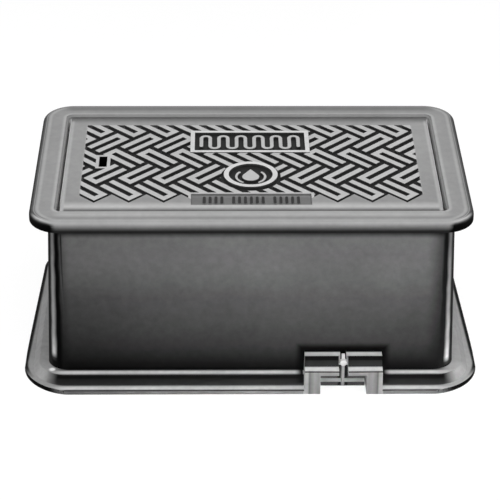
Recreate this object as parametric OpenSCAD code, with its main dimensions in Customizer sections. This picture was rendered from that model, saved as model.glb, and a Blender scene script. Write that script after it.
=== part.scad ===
// Hose bib box: a moulded box that stands round a garden tap, with a hinged tread lid.
// The origin is on the ground, in the middle of the base. X runs along the long side,
// the front with its pipe hood faces -Y, and Z points up. All sizes are in millimetres.
// The corners of flange, wall, rim, opening and lid share one centre each. Profiles are
// drawn as [distance out from that centre, height] and carried round the box.

/* [Box] */
// Length of the base flange
flange_l = 364; // [320:1:440]
// Width of the base flange
flange_w = 226; // [205:1:300]
// Height of the rim's top face above the ground
box_h = 150; // [130:1:220]
// Corner radius of the lid opening, from which all other corners follow
opening_corner_r = 4; // [4:0.5:12]
// Wall thickness of the body
wall_t = 3.5; // [2.5:0.1:5]
// Draft of the body wall, wider towards the ground, in degrees
wall_draft = 2; // [0.5:0.1:3]

/* [Base flange] */
// Thickness of the flange and of its flat lip on the ground
flange_t = 4; // [3:0.1:5]
// Width of the flat lip
lip_w = 7; // [5:0.5:10]
// Width of the sloping step between lip and ledge
bevel_run = 5; // [3:0.5:7]
// Rise of the sloping step
bevel_rise = 7; // [5:0.5:12]
// Radius of the lip's outer upper edge
lip_edge_r = 1.6; // [0.5:0.1:2.4]
// Radius of the flange's front corners in plan
front_corner_r = 42; // [36:1:46]
// Amount by which each side of the flange draws in from front to rear
side_draw_in = 5; // [1:0.5:5.5]

/* [Rim] */
// Distance of the rim's face in from the flange's face
rim_inset = 10; // [6:0.5:14]
// Width of the rim from its face to the lid opening
band_w = 21; // [18:0.1:24]
// Thickness of the rim plate
rim_t = 4; // [3:0.1:6]
// Height of the rim's face, from the skirt's lower edge to the top
skirt_h = 8.5; // [8:0.5:14]
// Thickness of the rim's skirt
skirt_t = 3; // [2:0.1:4]
// Radius of the rim's outer upper edge
rim_edge_r = 4.5; // [2:0.1:5.5]
// Chamfer round the lid opening
opening_chamfer = 1.5; // [0.5:0.1:2]
// Thickness of the wall that hangs down round the lid
recess_wall_t = 2.7; // [2:0.1:4]
// Play between the hanging wall and the body
frame_fit = 0.3; // [0.2:0.05:0.6]
// Thickness of the ledge that the lid lies on
ledge_t = 3; // [2.5:0.1:5]
// Width of the ledge, in from the lid opening
ledge_w = 9; // [7:0.5:12]
// Width of the ledge's pads round the screw heads
ledge_pad_w = 2.5; // [1.5:0.1:4]
// Thickness of the ribs under the rim
rim_rib_t = 2.4; // [1.5:0.1:4]
// Spacing of the ribs under the rim, at most
rim_rib_pitch = 46; // [30:1:80]
// Height that the ribs under the rim stay above the skirt's lower edge
rim_rib_lift = 1; // [0.5:0.1:2]

/* [Lid] */
// Gap between lid and rim
lid_gap = 2; // [1.2:0.1:2.3]
// Depth of the lid's top face below the rim's top face
lid_recess = 1.6; // [0.6:0.1:3]
// Thickness of the lid plate
lid_t = 5; // [4:0.1:7]
// Height of the lid's edge
lid_edge_h = 10; // [9.5:0.1:14]
// Thickness of the skirt round the lid
lid_skirt_t = 3; // [2:0.1:5]
// Radius of the lid's upper edge
lid_edge_r = 1.5; // [0.5:0.1:1.6]
// Play between lid and ledge
lid_seat_gap = 0.2; // [0.1:0.05:0.5]
// Thickness of the ribs under the lid
lid_rib_t = 2.5; // [1.5:0.1:4]
// Height that the ribs under the lid stay above its lower edge
lid_rib_lift = 1.2; // [1:0.1:3]
// Number of ribs across the lid
lid_cross_ribs = 5; // [3:1:8]

/* [Tread] */
// Spacing of the tread blocks along X
tread_pitch = 27.1; // [22:0.1:34]
// Depth of the tread grooves
tread_depth = 2; // [1:0.1:2.6]
// Width of the grooves between and in the blocks
groove_w = 4.7; // [3:0.1:5.5]
// Bare border between tread and the lid's left and right edges
tread_side_margin = 14.6; // [10:0.1:30]
// Bare border between tread and the lid's rear edge
tread_rear_margin = 13.5; // [6:0.1:20]
// Distance of the tread's middle row behind the lid's middle
tread_mid_y = 7.6; // [2:0.1:10]
// Shift of the tread along X
tread_shift_x = 6.2; // [0:0.1:27]

/* [Plate, ring and strip] */
// Length of the plate's raised border
plate_l = 97; // [70:1:120]
// Width of the plate's raised border
plate_w = 38.5; // [28:0.5:44]
// Distance of the plate's middle behind the lid's middle
plate_y = 36; // [32:0.5:37]
// Width of the raised border
border_w = 3.5; // [2:0.1:5]
// Height of border and ring above the lid's top face
border_rise = 0.6; // [0.3:0.1:1.5]
// Width of the ring
ring_w = 4; // [2.5:0.1:6]
// Outer diameter of the ring
ring_d = 43; // [32:0.5:46]
// Distance of the ring's middle in front of the lid's middle
ring_y = 21; // [18:0.1:28]
// Shift of the ring's groove to the front, as a share of half the groove's width
ring_groove_shift = 1.25; // [1.1:0.05:1.6]
// Length of the bare strip in front of the ring, with its borders
strip_l = 98.5; // [60:0.5:120]
// Distance of the strip's rear border in front of the lid's middle
strip_y = 50.6; // [50:0.1:53]
// Width of the strip's border
strip_border_w = 2.4; // [1.5:0.1:4]
// Width of the strip's sunk floor
strip_floor_w = 17.3; // [12:0.1:19]

/* [Lifting slot] */
// Width of the lifting slot along X
slot_w = 6; // [4:0.5:10]
// Length of the lifting slot along Y
slot_l = 17; // [12:0.5:24]
// Distance of the slot's middle from the lid's left edge
slot_inset = 30.5; // [26:0.1:60]
// Distance of the slot's middle behind the lid's middle
slot_y = 1.5; // [-20:0.5:20]
// Width of the smooth border round the slot
slot_border_w = 2.8; // [1.5:0.1:5]

/* [Hinge] */
// Diameter of the hinge pins
pin_d = 4; // [3:0.1:5]
// Length of a hinge pin
pin_len = 16; // [12:0.5:24]
// Play round a pin in the frame, on the radius
pin_play = 0.1; // [0.05:0.01:0.2]
// Play round a pin in the lid, on the radius
pin_press = 0.02; // [0.01:0.01:0.05]
// Distance of the hinge axis in from the lid's right edge
hinge_inset = 5.5; // [4.5:0.1:7]
// Depth of the hinge axis below the lid's top face
hinge_drop = 3.7; // [3.2:0.1:4.4]
// Length of a hinge boss along the pin
hinge_boss_l = 20; // [16:0.5:30]

/* [Pipe hood] */
// Distance of the hood's middle to the right of the box's middle
hood_x = 73.2; // [-70:0.1:80]
// Width of the hood at the top
hood_w = 61.2; // [50:0.5:80]
// Rise of the hood over the flange, which is the height of the tunnel
hood_rise = 17.3; // [12:0.1:30]
// Amount by which each side of the hood widens towards the ground
hood_taper = 0.6; // [0.5:0.1:5]
// Width of the pipe tunnel
tunnel_w = 36.6; // [26:0.1:42]
// Width of the rear slot over the tunnel
rear_slot_w = 5; // [3.4:0.1:6]
// Width of the front slot over the tunnel
front_slot_w = 7.4; // [7:0.1:12]
// Border left standing round the window in the wall
window_border = 2; // [1.5:0.1:4]

/* [Pipe plug] */
// Thickness of the plug's panel
plug_t = 2.5; // [1.5:0.1:4]
// Play between the plug and the hood
plug_play = 0.3; // [0.2:0.05:0.6]
// Depth of the plug's foot, front to back
plug_foot_depth = 7.6; // [5:0.5:10]
// Thickness of the plug's foot
plug_foot_t = 3.7; // [1.5:0.1:5]
// Height of the plug above the ground
plug_lift = 0.4; // [0.2:0.1:1]
// Thickness of the plug's fin
fin_t = 2.6; // [1.5:0.1:3.2]
// Length of the fin's level top
fin_top_l = 2.2; // [1:0.1:4]
// Chamfer at the fin's front upper corner
fin_chamfer = 2; // [0.5:0.1:3]
// Distance of the foot's ends in from the panel's ends
foot_inset = 0.5; // [0:0.1:2]
// Depth by which the knob is rooted in the fin
knob_root = 0.4; // [0.2:0.1:1]
// Height of the knob's axis above the hood's lip
knob_lift = 2.1; // [1.5:0.1:3]
// Diameter of the plug's knob
knob_d = 5.8; // [4:0.1:6.5]
// Length of the plug's knob, front to back
knob_h = 3; // [2:0.1:5]
// Radius of the knob's front edge
knob_edge_r = 1.2; // [0.5:0.1:1.8]

/* [Tap bracket] */
// Diameter of the hole for the tap
tap_hole_d = 21.5; // [16:0.5:28]
// Height of the tap hole above the ground
tap_z = 75; // [50:1:100]
// Thickness of the bracket's sheet
bracket_t = 2; // [1.5:0.1:3]
// Height of the bracket along Z
bracket_h = 46; // [40:1:70]
// Reach of the bracket from its feet to its web
bracket_reach = 34; // [24:0.5:60]
// Width of the bracket's web, outside
bracket_web_w = 56; // [44:1:80]
// Width of one foot of the bracket
bracket_foot_w = 18; // [14:0.5:24]
// Distance of the bracket's screws in from its upper and lower edges
bracket_screw_edge = 9; // [7:0.5:14]
// Inner bend radius of the bracket
bracket_bend_r = 2; // [1:0.1:3]

/* [Screws] */
// Core diameter of all screws
screw_core_d = 3.4; // [2.5:0.1:4]
// Head diameter of the countersunk frame screws
csk_head_d = 8; // [6:0.1:9]
// Length of a frame screw
frame_screw_len = 18; // [12:0.5:24]
// Head diameter of the bracket screws
pan_head_d = 7.6; // [6:0.1:9]
// Head height of the bracket screws
pan_head_h = 2.4; // [1.5:0.1:3]
// Length of a bracket screw under its head
bracket_screw_len = 9.6; // [8:0.1:10.5]
// Width of the arms of the cross recess in a screw head
cross_w = 1.1; // [0.8:0.1:1.6]
// Depth of the cross recess
cross_depth = 1.2; // [0.8:0.1:1.5]
// Width of the pan heads' chamfered edge
pan_chamfer = 1; // [0.3:0.1:1.2]
// Radius of the screws' blunt tips
screw_tip_r = 0.5; // [0.2:0.1:1]
// Play round a screw in its pilot hole, on the radius
pilot_play = 0.05; // [0.02:0.01:0.1]
// Play round a screw in its through hole, on the radius
through_play = 0.45; // [0.3:0.05:0.8]
// Distance of a frame screw in from the corner centre, along X and along Y
frame_screw_in = 3; // [2:0.1:5]
// Outer diameter of the screw bosses in the body's corners
corner_boss_d = 10; // [8:0.1:12]
// Length of the screw bosses in the body's corners
corner_boss_h = 34; // [24:1:50]
// Outer diameter of the bosses behind the bracket
bracket_boss_d = 11; // [9:0.1:14]
// Depth of the bosses behind the bracket, from the wall's inner face at their level
bracket_boss_h = 7; // [4:0.1:12]

/* [Hidden] */
$fn = 64;
// Overlap of joined solids and overshoot of cuts
eps = 0.5;
moulding_grey = [0.30, 0.30, 0.31];
lid_grey = [0.36, 0.36, 0.37];
steel_grey = [0.72, 0.72, 0.74];

// Corner centre, and distances out from it
open_r = opening_corner_r;
rim_r = open_r + band_w;
flange_r = rim_r + rim_inset;
corner_x = flange_l/2 - flange_r;
corner_y = flange_w/2 - flange_r;
lid_r = open_r - lid_gap;
frame_wall_r = open_r + recess_wall_t;
wall_top_r = frame_wall_r + frame_fit + wall_t;

// Levels
rim_under_z = box_h - rim_t;
lid_z = box_h - lid_recess;
lid_low_z = lid_z - lid_edge_h;
lid_under_z = lid_z - lid_t;
ledge_z = lid_low_z - lid_seat_gap;
ledge_under_z = ledge_z - ledge_t;
shelf_z = flange_t + bevel_rise;

// Base flange
lip_in_r = flange_r - lip_w;
shelf_r = lip_in_r - bevel_run;
bevel_slant = flange_t/sin(atan2(bevel_rise, bevel_run));
plan_steps = 16;

// Tread blocks: the cells of a herringbone at 45 degrees, twice as long as wide
cell_w = tread_pitch/sqrt(2);
cell_l = 2*cell_w;
tread_x = corner_x + lid_r - tread_side_margin;
tread_rear_y = corner_y + lid_r - tread_rear_margin;
// Each row: distance of its middle from the ring-side row line, shift along X, closed end
tread_rows = [[2, 0, -45], [1, -0.5, 45], [0, 0, 135], [-1, -0.5, 225], [-2, 0, -45]];
tread_count = ceil(tread_x/tread_pitch) + 1;
cell_overlap = 0.1;
row_reach = (cell_l + cell_w)/2*sin(45);
strip_front_y = tread_mid_y - 2*tread_pitch - row_reach - 2*eps;
slot_x = -corner_x - lid_r + slot_inset;

// Hinge
hinge_x = corner_x + lid_r - hinge_inset;
hinge_z = lid_z - hinge_drop;
nose_r = hinge_inset;
pin_end_y = corner_y + frame_wall_r - frame_fit;

// Pipe hood and plug, as heights and distances out from the corner centre
hood_top_z = shelf_z + hood_rise;
hood_lip_z = flange_t + hood_rise;
window_w = tunnel_w - 2*window_border;
window_h = hood_rise - window_border;
plug_back_r = wall_out(0) + plug_play;
plug_h = hood_rise - plug_play - plug_lift;
knob_z = hood_lip_z + knob_lift;
knob_back_r = shelf_r + plug_play;
fin_front_r = knob_back_r + knob_root;

// Tap bracket and screws
bracket_boss_x = corner_x + wall_in(tap_z) - bracket_boss_h;
bracket_screw_y = bracket_web_w/2 + bracket_foot_w/2 + bracket_bend_r;
bracket_screw_dz = bracket_h/2 - bracket_screw_edge;
cross_l = csk_head_d/2;
bracket_screw_spots = [for (sy = [-1, 1], sz = [-1, 1])
    [sy*bracket_screw_y, tap_z + sz*bracket_screw_dz]];
frame_screw_spots = [for (sx = [-1, 1], sy = [-1, 1])
    [sx*(corner_x - frame_screw_in), sy*(corner_y - frame_screw_in)]];

// Distance of the body wall's outer and inner faces from the corner centre at height z
function wall_out(z) = wall_top_r + (rim_under_z - z)*tan(wall_draft);
function wall_in(z) = wall_out(z) - wall_t;
// Distance of the flange's sloping step from the corner centre at height z
function bevel_out(z) = lip_in_r - (z - flange_t)*bevel_run/bevel_rise;
// Points of a quarter circle round c from angle a0 to a0 + 90
function quarter(c, r, a0, n = 6) = [for (i = [0:n]) c + r*[cos(a0 + 90*i/n), sin(a0 + 90*i/n)]];

// Carries a profile of [distance out, height] round the box
module carry_round() {
    for (k = [0:3]) {
        along = k % 2 == 0 ? [corner_x, corner_y] : [corner_y, corner_x];
        rotate(90*k) translate([along.x, along.y, 0]) {
            rotate_extrude(angle = 90) children();
            rotate([90, 0, 0]) linear_extrude(2*along.y) children();
        }
    }
}

// Plan of the box at distance r out from the corner centres
module plan(r) {
    square([2*corner_x + 2*r, 2*corner_y], center = true);
    square([2*corner_x, 2*corner_y + 2*r], center = true);
    for (sx = [-1, 1], sy = [-1, 1]) translate([sx*corner_x, sy*corner_y]) circle(r);
}

// Puts a profile of [distance out, height] on the front side, w wide round the middle x
module front_profile(x, w) {
    translate([x + w/2, -corner_y, 0]) rotate([90, 0, -90]) linear_extrude(w) children();
}

// Wall and flange of the body as one folded section of even thickness
module body_section() {
    polygon(concat(
        [[wall_in(rim_under_z), rim_under_z], [wall_in(shelf_z - flange_t), shelf_z - flange_t],
         [bevel_out(shelf_z - flange_t) - bevel_slant, shelf_z - flange_t],
         [bevel_out(0) - bevel_slant, 0], [flange_r, 0]],
        quarter([flange_r - lip_edge_r, flange_t - lip_edge_r], lip_edge_r, 0),
        [[lip_in_r, flange_t], [shelf_r, shelf_z], [wall_out(shelf_z), shelf_z],
         [wall_out(rim_under_z), rim_under_z]]
    ));
}

// Plan of the flange: rounder at the front corners, with sides that draw in to the rear
module flange_plan() {
    front = [flange_l/2 + eps - front_corner_r, flange_w/2 + eps - front_corner_r];
    rear = [flange_l/2 - side_draw_in - flange_r, flange_w/2 + eps - flange_r];
    polygon(concat(
        quarter([rear.x, rear.y], flange_r, 0, plan_steps),
        quarter([-rear.x, rear.y], flange_r, 90, plan_steps),
        quarter([-front.x, -front.y], front_corner_r, 180, plan_steps),
        quarter([front.x, -front.y], front_corner_r, 270, plan_steps)
    ));
}

// Hood before its tunnel is cut: the flange's section lifted, with tapering sides
module hood_block() {
    intersection() {
        front_profile(hood_x, hood_w + 4*hood_taper) polygon(concat(
            [[wall_in(0), 0], [flange_r, 0]],
            quarter([flange_r - lip_edge_r, hood_lip_z - lip_edge_r], lip_edge_r, 0),
            [[lip_in_r, hood_lip_z], [shelf_r, hood_top_z], [wall_in(hood_top_z), hood_top_z]]
        ));
        translate([hood_x, 0, 0]) rotate([90, 0, 0]) linear_extrude(flange_w/2 + eps) polygon([
            [-hood_w/2 - hood_taper, 0], [hood_w/2 + hood_taper, 0],
            [hood_w/2, hood_top_z], [-hood_w/2, hood_top_z]
        ]);
    }
}

// Everything that is cut through hood and flange for the pipe and its plug
module hood_cuts() {
    under_z = hood_top_z - flange_t;
    // Tunnel under the lifted section
    front_profile(hood_x, tunnel_w) polygon([
        [wall_out(0), -eps], [flange_r + eps, -eps], [flange_r + eps, hood_rise],
        [bevel_out(0) - bevel_slant, hood_rise],
        [bevel_out(shelf_z - flange_t) - bevel_slant, under_z],
        [wall_out(under_z), under_z]
    ]);
    // Window in the wall
    front_profile(hood_x, window_w) polygon([
        [wall_in(0) - 2*eps, -eps], [wall_out(0) + eps, -eps],
        [wall_out(0) + eps, window_h], [wall_in(0) - 2*eps, window_h]
    ]);
    // Slots over the tunnel
    front_profile(hood_x, rear_slot_w) polygon([
        [wall_out(hood_top_z), hood_rise - eps], [lip_in_r, hood_rise - eps],
        [lip_in_r, hood_top_z + eps], [wall_out(hood_top_z), hood_top_z + eps]
    ]);
    front_profile(hood_x, front_slot_w) polygon([
        [shelf_r, hood_rise - eps], [flange_r + eps, hood_rise - eps],
        [flange_r + eps, hood_top_z + eps], [shelf_r, hood_top_z + eps]
    ]);
    // Hollows in the legs, open to the ground
    leg_w = (hood_w - tunnel_w)/2 + hood_taper - 2*flange_t;
    for (s = [-1, 1])
        front_profile(hood_x + s*(tunnel_w/2 + flange_t + leg_w/2), leg_w) polygon([
            [wall_out(0) + eps, -eps], [flange_r - flange_t, -eps],
            [flange_r - flange_t, hood_rise - flange_t], [wall_out(0) + eps, hood_rise - flange_t]
        ]);
}

// Screw boss in a corner of the body, with the web that ties it to the wall
module corner_boss(spot) {
    low_z = ledge_under_z - corner_boss_h;
    web_r = wall_in(low_z) + wall_t/4 + frame_screw_in*sqrt(2);
    translate([spot.x, spot.y, low_z]) linear_extrude(corner_boss_h) {
        circle(d = corner_boss_d);
        rotate(atan2(spot.y > 0 ? 1 : -1, spot.x > 0 ? 1 : -1))
            translate([0, -wall_t/2]) square([web_r, wall_t]);
    }
}

module box_body() {
    pilot_r = screw_core_d/2 + pilot_play;
    color(moulding_grey) difference() {
        union() {
            intersection() {
                carry_round() body_section();
                translate([0, 0, -eps]) linear_extrude(box_h + 2*eps) flange_plan();
            }
            hood_block();
            for (spot = frame_screw_spots) corner_boss(spot);
            for (spot = bracket_screw_spots)
                translate([bracket_boss_x, spot.x, spot.y]) rotate([0, 90, 0])
                    cylinder(h = corner_x + wall_in(spot.y) + wall_t/2 - bracket_boss_x,
                             d = bracket_boss_d);
        }
        hood_cuts();
        for (spot = frame_screw_spots)
            translate([spot.x, spot.y, ledge_z - frame_screw_len - eps])
                cylinder(h = frame_screw_len, r = pilot_r);
        for (spot = bracket_screw_spots)
            translate([bracket_boss_x - eps, spot.x, spot.y]) rotate([0, 90, 0])
                cylinder(h = bracket_screw_len - bracket_t + 2*eps, r = pilot_r);
    }
}

// Skirt, rim plate and hanging wall of the frame
module frame_section() {
    polygon(concat(
        [[rim_r - skirt_t, box_h - skirt_h], [rim_r, box_h - skirt_h]],
        quarter([rim_r - rim_edge_r, box_h - rim_edge_r], rim_edge_r, 0, 8),
        [[open_r + opening_chamfer, box_h], [open_r, box_h - opening_chamfer],
         [open_r, ledge_under_z], [frame_wall_r, ledge_under_z],
         [frame_wall_r, rim_under_z], [rim_r - skirt_t, rim_under_z]]
    ));
}

// Ledge round the opening, with wider pads at the screws
module frame_ledge() {
    difference() {
        linear_extrude(ledge_t) {
            difference() {
                plan(open_r + recess_wall_t/2);
                square([2*(corner_x + open_r - ledge_w), 2*(corner_y + open_r - ledge_w)],
                       center = true);
            }
            for (spot = frame_screw_spots) translate(spot) circle(csk_head_d/2 + ledge_pad_w);
        }
        for (spot = frame_screw_spots) translate([spot.x, spot.y, 0]) {
            translate([0, 0, -eps]) cylinder(h = ledge_t + 2*eps, r = screw_core_d/2 + through_play);
            csk_h = (csk_head_d - screw_core_d)/2;
            translate([0, 0, ledge_t - csk_h])
                cylinder(h = csk_h, r1 = screw_core_d/2 + through_play, r2 = csk_head_d/2 + through_play);
        }
    }
}

// Ribs under the rim on one side, spread evenly over the length l
module rim_ribs(l, out) {
    count = ceil(l/rim_rib_pitch);
    rib_in = wall_top_r + frame_fit;
    for (i = [0:count])
        translate([-l/2 + l*i/count - rim_rib_t/2, out + rib_in, box_h - skirt_h + rim_rib_lift])
            cube([rim_rib_t, rim_r - skirt_t - rib_in + eps, skirt_h - rim_t - rim_rib_lift + eps]);
}

module top_frame() {
    color(moulding_grey) difference() {
        union() {
            carry_round() frame_section();
            translate([0, 0, ledge_under_z]) frame_ledge();
            for (a = [0, 180]) rotate(a) rim_ribs(2*corner_x, corner_y);
            for (a = [90, 270]) rotate(a) rim_ribs(2*corner_y, corner_x);
        }
        for (a = [0, 180]) translate([hinge_x, 0, hinge_z]) rotate([90, 0, a])
            translate([0, 0, corner_y + open_r - eps])
                cylinder(h = recess_wall_t + 2*eps, r = pin_d/2 + pin_play);
    }
}

// Edge of the lid: skirt with a rounded upper edge
module lid_edge_section() {
    polygon(concat(
        [[0, lid_low_z], [lid_r, lid_low_z]],
        quarter([lid_r - lid_edge_r, lid_z - lid_edge_r], lid_edge_r, 0, 4),
        [[0, lid_z]]
    ));
}

// One tread block: two ridges, closed at the end that points along +X
module tread_block() {
    block_l = cell_l - groove_w;
    block_w = cell_w - groove_w;
    ridge_w = (block_w - groove_w)/2;
    difference() {
        square([block_l, block_w], center = true);
        translate([-block_l/2 - eps, -groove_w/2]) square([block_l - ridge_w + eps, groove_w]);
    }
}

// Places the children on every cell of one row of the tread
module tread_row(row) {
    for (i = [-tread_count:tread_count])
        translate([tread_shift_x + (i + row[1])*tread_pitch, tread_mid_y + row[0]*tread_pitch])
            rotate(row[2]) children();
}

// Plate, ring, strip and the slot's border, which the tread leaves free and runs up to
module tread_islands() {
    translate([0, plate_y]) square([plate_l, plate_w], center = true);
    translate([0, -ring_y]) circle(ring_d/2);
    translate([-strip_l/2, strip_front_y]) square([strip_l, -strip_y - strip_front_y]);
    translate([slot_x, slot_y])
        square([slot_w + 2*slot_border_w, slot_l + 2*slot_border_w], center = true);
}

// Disc set forward of the ring, so that its groove opens to the front
module ring_groove() {
    grow = groove_w/2;
    translate([0, -ring_y - ring_groove_shift*grow]) circle(ring_d/2 + grow);
}

// All that lies at the bottom of the tread
module tread_grooves() {
    front_row = tread_rows[4];
    front_y = tread_mid_y + front_row[0]*tread_pitch;
    difference() {
        intersection() {
            union() {
                translate([-tread_x, front_y]) square([2*tread_x, tread_rear_y - front_y]);
                tread_row(front_row) square([cell_l + cell_overlap, cell_w + cell_overlap], center = true);
            }
            translate([-tread_x, -corner_y]) square([2*tread_x, tread_rear_y + corner_y]);
        }
        difference() {
            for (row = tread_rows) tread_row(row) tread_block();
            ring_groove();
        }
        tread_islands();
    }
}

// Bottoms of plate, ring and strip, inside their borders
module emblem_floors() {
    translate([0, plate_y]) square([plate_l - 2*border_w, plate_w - 2*border_w], center = true);
    translate([0, -ring_y]) circle(ring_d/2 - ring_w);
    translate([0, -strip_y - strip_border_w - strip_floor_w/2])
        square([strip_l - 2*strip_border_w, strip_floor_w], center = true);
}

// Raised borders of plate and ring
module emblem_borders() {
    difference() {
        union() {
            translate([0, plate_y]) square([plate_l, plate_w], center = true);
            translate([0, -ring_y]) circle(ring_d/2);
        }
        emblem_floors();
    }
}

// Stiffening ribs under the lid plate
module lid_ribs() {
    low_z = lid_low_z + lid_rib_lift;
    rib_h = lid_under_z - low_z + eps;
    span = 2*corner_x/(lid_cross_ribs + 1);
    translate([0, 0, low_z]) {
        for (i = [1:lid_cross_ribs])
            translate([-corner_x + i*span - lid_rib_t/2, -corner_y - eps, 0])
                cube([lid_rib_t, 2*corner_y + 2*eps, rib_h]);
        for (s = [-1, 1])
            translate([-corner_x - eps, s*corner_y/3 - lid_rib_t/2, 0])
                cube([2*corner_x + 2*eps, lid_rib_t, rib_h]);
    }
}

// Solid bosses at the two ends of the hinge, rounded below round the axis
module hinge_bosses() {
    for (s = [-1, 1]) intersection() {
        translate([hinge_x, s*(corner_y + lid_r) - (s > 0 ? hinge_boss_l : 0), hinge_z])
            rotate([-90, 0, 0]) cylinder(h = hinge_boss_l, r = nose_r);
        translate([hinge_x - nose_r - eps, -corner_y, hinge_z - nose_r - eps])
            cube([2*nose_r + eps, 2*corner_y, nose_r + 2*eps]);
    }
}

// Cut that rounds the lid's right edge below the axis, so that it can turn
module nose_cut() {
    difference() {
        translate([hinge_x, -corner_y - lid_r - eps, lid_low_z - eps])
            cube([hinge_inset + eps, 2*(corner_y + lid_r + eps), hinge_z - lid_low_z + eps]);
        translate([hinge_x, -corner_y - lid_r - 2*eps, hinge_z]) rotate([-90, 0, 0])
            cylinder(h = 2*(corner_y + lid_r + 2*eps), r = nose_r);
    }
}

module lid() {
    color(lid_grey) {
        difference() {
            union() {
                carry_round() lid_edge_section();
                translate([-corner_x, -corner_y, lid_under_z])
                    cube([2*corner_x, 2*corner_y, lid_t]);
                if (lid_skirt_t > lid_r) skirt_inside();
                lid_ribs();
                hinge_bosses();
                translate([0, 0, lid_z - eps]) linear_extrude(border_rise + eps) emblem_borders();
            }
            translate([0, 0, lid_z - tread_depth]) linear_extrude(tread_depth + eps) tread_grooves();
            translate([0, 0, lid_z - tread_depth])
                linear_extrude(tread_depth + border_rise + eps) emblem_floors();
            translate([slot_x - slot_w/2, slot_y - slot_l/2, lid_low_z - eps])
                cube([slot_w, slot_l, lid_edge_h + 2*eps]);
            nose_cut();
            for (s = [-1, 1])
                translate([hinge_x, s*(corner_y + lid_r + eps), hinge_z]) rotate([s*90, 0, 0])
                    cylinder(h = pin_len - (pin_end_y - corner_y - lid_r) + 2*eps,
                             r = pin_d/2 + pin_press);
        }
    }
}

// Inner part of a skirt that is thicker than the lid's corner radius
module skirt_inside() {
    translate([0, 0, lid_low_z]) linear_extrude(lid_edge_h - lid_t + eps) difference() {
        square([2*corner_x, 2*corner_y], center = true);
        square([2*(corner_x + lid_r - lid_skirt_t), 2*(corner_y + lid_r - lid_skirt_t)], center = true);
    }
}

// Hinge pin at the side s, with chamfered ends
module hinge_pin(s) {
    chamfer = pin_d/8;
    translate([hinge_x, s*pin_end_y, hinge_z]) rotate([s*90, 0, 0]) rotate_extrude() polygon([
        [0, 0], [pin_d/2 - chamfer, 0], [pin_d/2, chamfer], [pin_d/2, pin_len - chamfer],
        [pin_d/2 - chamfer, pin_len], [0, pin_len]
    ]);
}

module hinge_pin_front() {
    color(steel_grey) hinge_pin(-1);
}

module hinge_pin_rear() {
    color(steel_grey) hinge_pin(1);
}

// Plug that closes the pipe tunnel: panel, foot, and a fin with a knob to pull it by
module pipe_plug() {
    panel_w = tunnel_w - 2*plug_play;
    color(moulding_grey) {
        front_profile(hood_x, panel_w) translate([plug_back_r, plug_lift]) square([plug_t, plug_h]);
        front_profile(hood_x, panel_w - 2*foot_inset) translate([plug_back_r, plug_lift])
            square([plug_foot_depth, plug_foot_t]);
        front_profile(hood_x, fin_t) polygon([
            [plug_back_r, plug_lift], [fin_front_r, plug_lift],
            [fin_front_r, hood_top_z - fin_chamfer], [fin_front_r - fin_chamfer, hood_top_z],
            [fin_front_r - fin_chamfer - fin_top_l, hood_top_z], [plug_back_r, plug_lift + plug_h]
        ]);
        translate([hood_x, -corner_y - knob_back_r, knob_z]) rotate([90, 0, 0])
            rotate_extrude() polygon(concat(
                [[0, 0], [knob_d/2, 0]],
                quarter([knob_d/2 - knob_edge_r, knob_h - knob_edge_r], knob_edge_r, 0, 4),
                [[0, knob_h]]
            ));
    }
}

// Countersunk screw, head up, its head's top face at the origin
module csk_screw(len) {
    core_r = screw_core_d/2;
    head_h = csk_head_d/2 - core_r;
    difference() {
        rotate_extrude() polygon([
            [0, 0], [csk_head_d/2, 0], [core_r, -head_h], [core_r, -len + core_r],
            [screw_tip_r, -len], [0, -len]
        ]);
        for (a = [0, 90]) rotate(a) cube([cross_l, cross_w, 2*cross_depth], center = true);
    }
}

module frame_screws() {
    color(steel_grey)
        for (spot = frame_screw_spots) translate([spot.x, spot.y, ledge_z])
            csk_screw(frame_screw_len);
}

// Pan head screw along +X, its head's seat at the origin
module pan_screw(len) {
    core_r = screw_core_d/2;
    difference() {
        rotate([0, 90, 0]) rotate_extrude() polygon([
            [0, -pan_head_h], [pan_head_d/2 - pan_chamfer, -pan_head_h],
            [pan_head_d/2, -pan_head_h + pan_chamfer],
            [pan_head_d/2, 0], [core_r, 0], [core_r, len - core_r], [screw_tip_r, len], [0, len]
        ]);
        translate([-pan_head_h, 0, 0]) for (a = [0, 90]) rotate([a, 0, 0])
            cube([2*cross_depth, cross_l, cross_w], center = true);
    }
}

module bracket_screws() {
    color(steel_grey)
        for (spot = bracket_screw_spots) translate([bracket_boss_x - bracket_t, spot.x, spot.y])
            pan_screw(bracket_screw_len);
}

// A quarter of a bent sheet round the origin, in the quadrant that starts at angle a
module bend(a) {
    outer = bracket_bend_r + bracket_t;
    rotate(a) intersection() {
        difference() {
            circle(outer);
            circle(bracket_bend_r);
        }
        square(outer);
    }
}

// Right half of the bracket's hat section: X is across the bracket, Y is its reach
module bracket_half() {
    outer = bracket_bend_r + bracket_t;
    arm_x = bracket_web_w/2;
    translate([0, bracket_reach - bracket_t]) square([arm_x - outer, bracket_t]);
    translate([arm_x - outer, bracket_reach - outer]) bend(0);
    translate([arm_x - bracket_t, outer]) square([bracket_t, bracket_reach - 2*outer]);
    translate([arm_x + bracket_bend_r, outer]) bend(180);
    translate([arm_x + bracket_bend_r, 0]) square([bracket_foot_w, bracket_t]);
}

module tap_bracket() {
    color(steel_grey) difference() {
        translate([bracket_boss_x, 0, tap_z - bracket_h/2]) rotate(90) linear_extrude(bracket_h) {
            bracket_half();
            mirror([1, 0]) bracket_half();
        }
        translate([bracket_boss_x - bracket_reach - eps, 0, tap_z]) rotate([0, 90, 0])
            cylinder(h = bracket_t + 2*eps, d = tap_hole_d);
        for (spot = bracket_screw_spots)
            translate([bracket_boss_x - bracket_t - eps, spot.x, spot.y]) rotate([0, 90, 0])
                cylinder(h = bracket_t + 2*eps, r = screw_core_d/2 + through_play);
    }
}

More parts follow.
